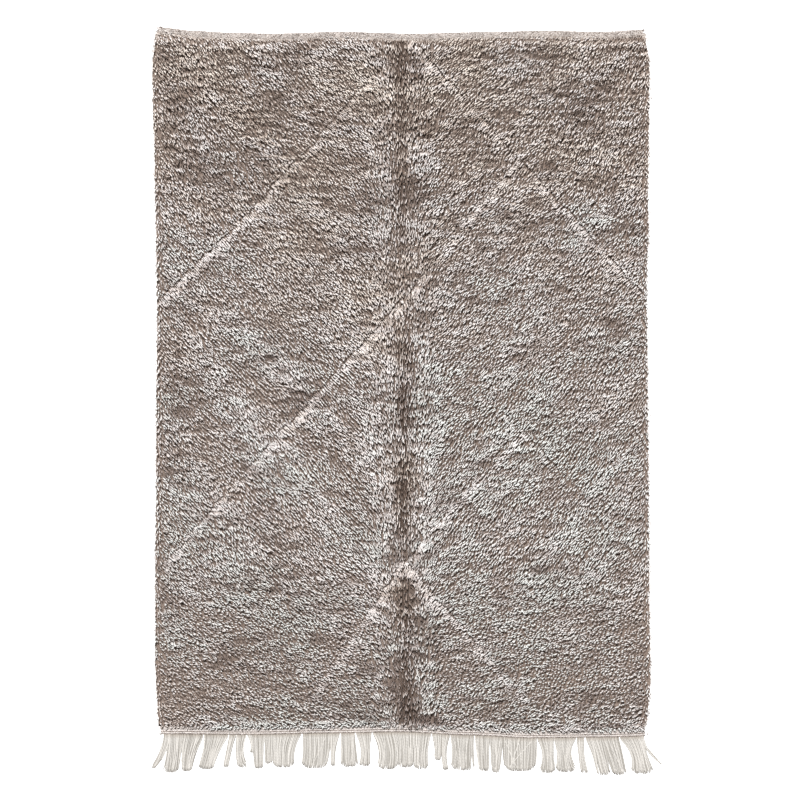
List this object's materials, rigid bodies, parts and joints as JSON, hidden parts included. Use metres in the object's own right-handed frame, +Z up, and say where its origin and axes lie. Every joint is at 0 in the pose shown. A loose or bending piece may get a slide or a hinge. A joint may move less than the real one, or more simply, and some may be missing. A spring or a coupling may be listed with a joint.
{
  "type": "beni ourain rug",
  "caption": "Hand-knotted wool pile rug with faint diamond grooves, flat-woven ends and a warp fringe at one end, lying flat.",
  "frame": {"origin": "on the underside, in the middle of the rug", "axes": "+Z up from the floor, +Y along the rug from the fringed end to the plain end, +X across it"},
  "size_m": [1.748, 2.581, 0.0254],
  "materials": {
    "pile_wool": "matte",
    "warp_yarn": "matte"
  },
  "bodies": {
    "root": {"rug": "pile_wool", "fringe": "warp_yarn"}
  },
  "joints": []
}
